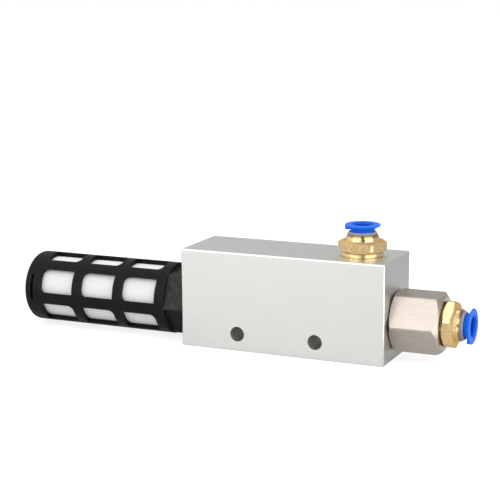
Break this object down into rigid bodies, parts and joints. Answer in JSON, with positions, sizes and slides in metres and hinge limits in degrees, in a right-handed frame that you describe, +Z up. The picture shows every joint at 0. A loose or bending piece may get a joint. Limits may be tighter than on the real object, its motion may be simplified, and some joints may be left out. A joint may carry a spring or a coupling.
{
  "type": "vacuum ejector",
  "caption": "Compact vacuum ejector: aluminium block, windowed plastic silencer, plated supply adapter and brass push-in tube fittings with blue release collars.",
  "frame": {"origin": "centre of the block's underside, midway between its front and rear faces", "axes": "+X along the air axis from the silencer to the air supply, +Y from the front face to the rear face along the bolt holes, +Z up towards the vacuum port"},
  "size_m": [0.1568, 0.025, 0.0426],
  "materials": {
    "block": "clear anodised, satin",
    "plated_brass": "nickel plated, fine turned and milled marks",
    "brass": "turned, bare",
    "black_plastic": "moulded, satin",
    "filter": "porous, white",
    "blue_plastic": "moulded, glossy",
    "grey_plastic": "moulded, satin",
    "stainless": "spring steel strip",
    "rubber": "matt"
  },
  "bodies": {
    "ejector": {"body_block": "block", "supply_adapter": "plated_brass", "adapter_seal_ring": "rubber", "supply_nozzle": "brass", "nozzle_o_ring": "rubber", "diffuser_tube": "brass", "diffuser_o_ring": "rubber", "silencer_body": "black_plastic", "silencer_filter": "filter", "silencer_end_cap": "black_plastic", "vacuum_fitting_body": "brass", "vacuum_guide_ring": "grey_plastic", "vacuum_grip_claw": "stainless", "vacuum_tube_seal": "rubber", "supply_fitting_body": "brass", "supply_guide_ring": "grey_plastic", "supply_grip_claw": "stainless", "supply_tube_seal": "rubber"},
    "vacuum_collar": {"vacuum_release_collar": "blue_plastic"},
    "supply_collar": {"supply_release_collar": "blue_plastic"}
  },
  "joints": [
    {"name": "vacuum_collar_press", "type": "slide", "parent": "ejector", "child": "vacuum_collar", "axis": [0, 0, -1], "range_m": [0, 0.0007], "stiffness_N_per_m": 1500, "springref_m": -0.0003},
    {"name": "supply_collar_press", "type": "slide", "parent": "ejector", "child": "supply_collar", "axis": [-1, 0, 0], "range_m": [0, 0.0007], "stiffness_N_per_m": 1500, "springref_m": -0.0003}
  ]
}
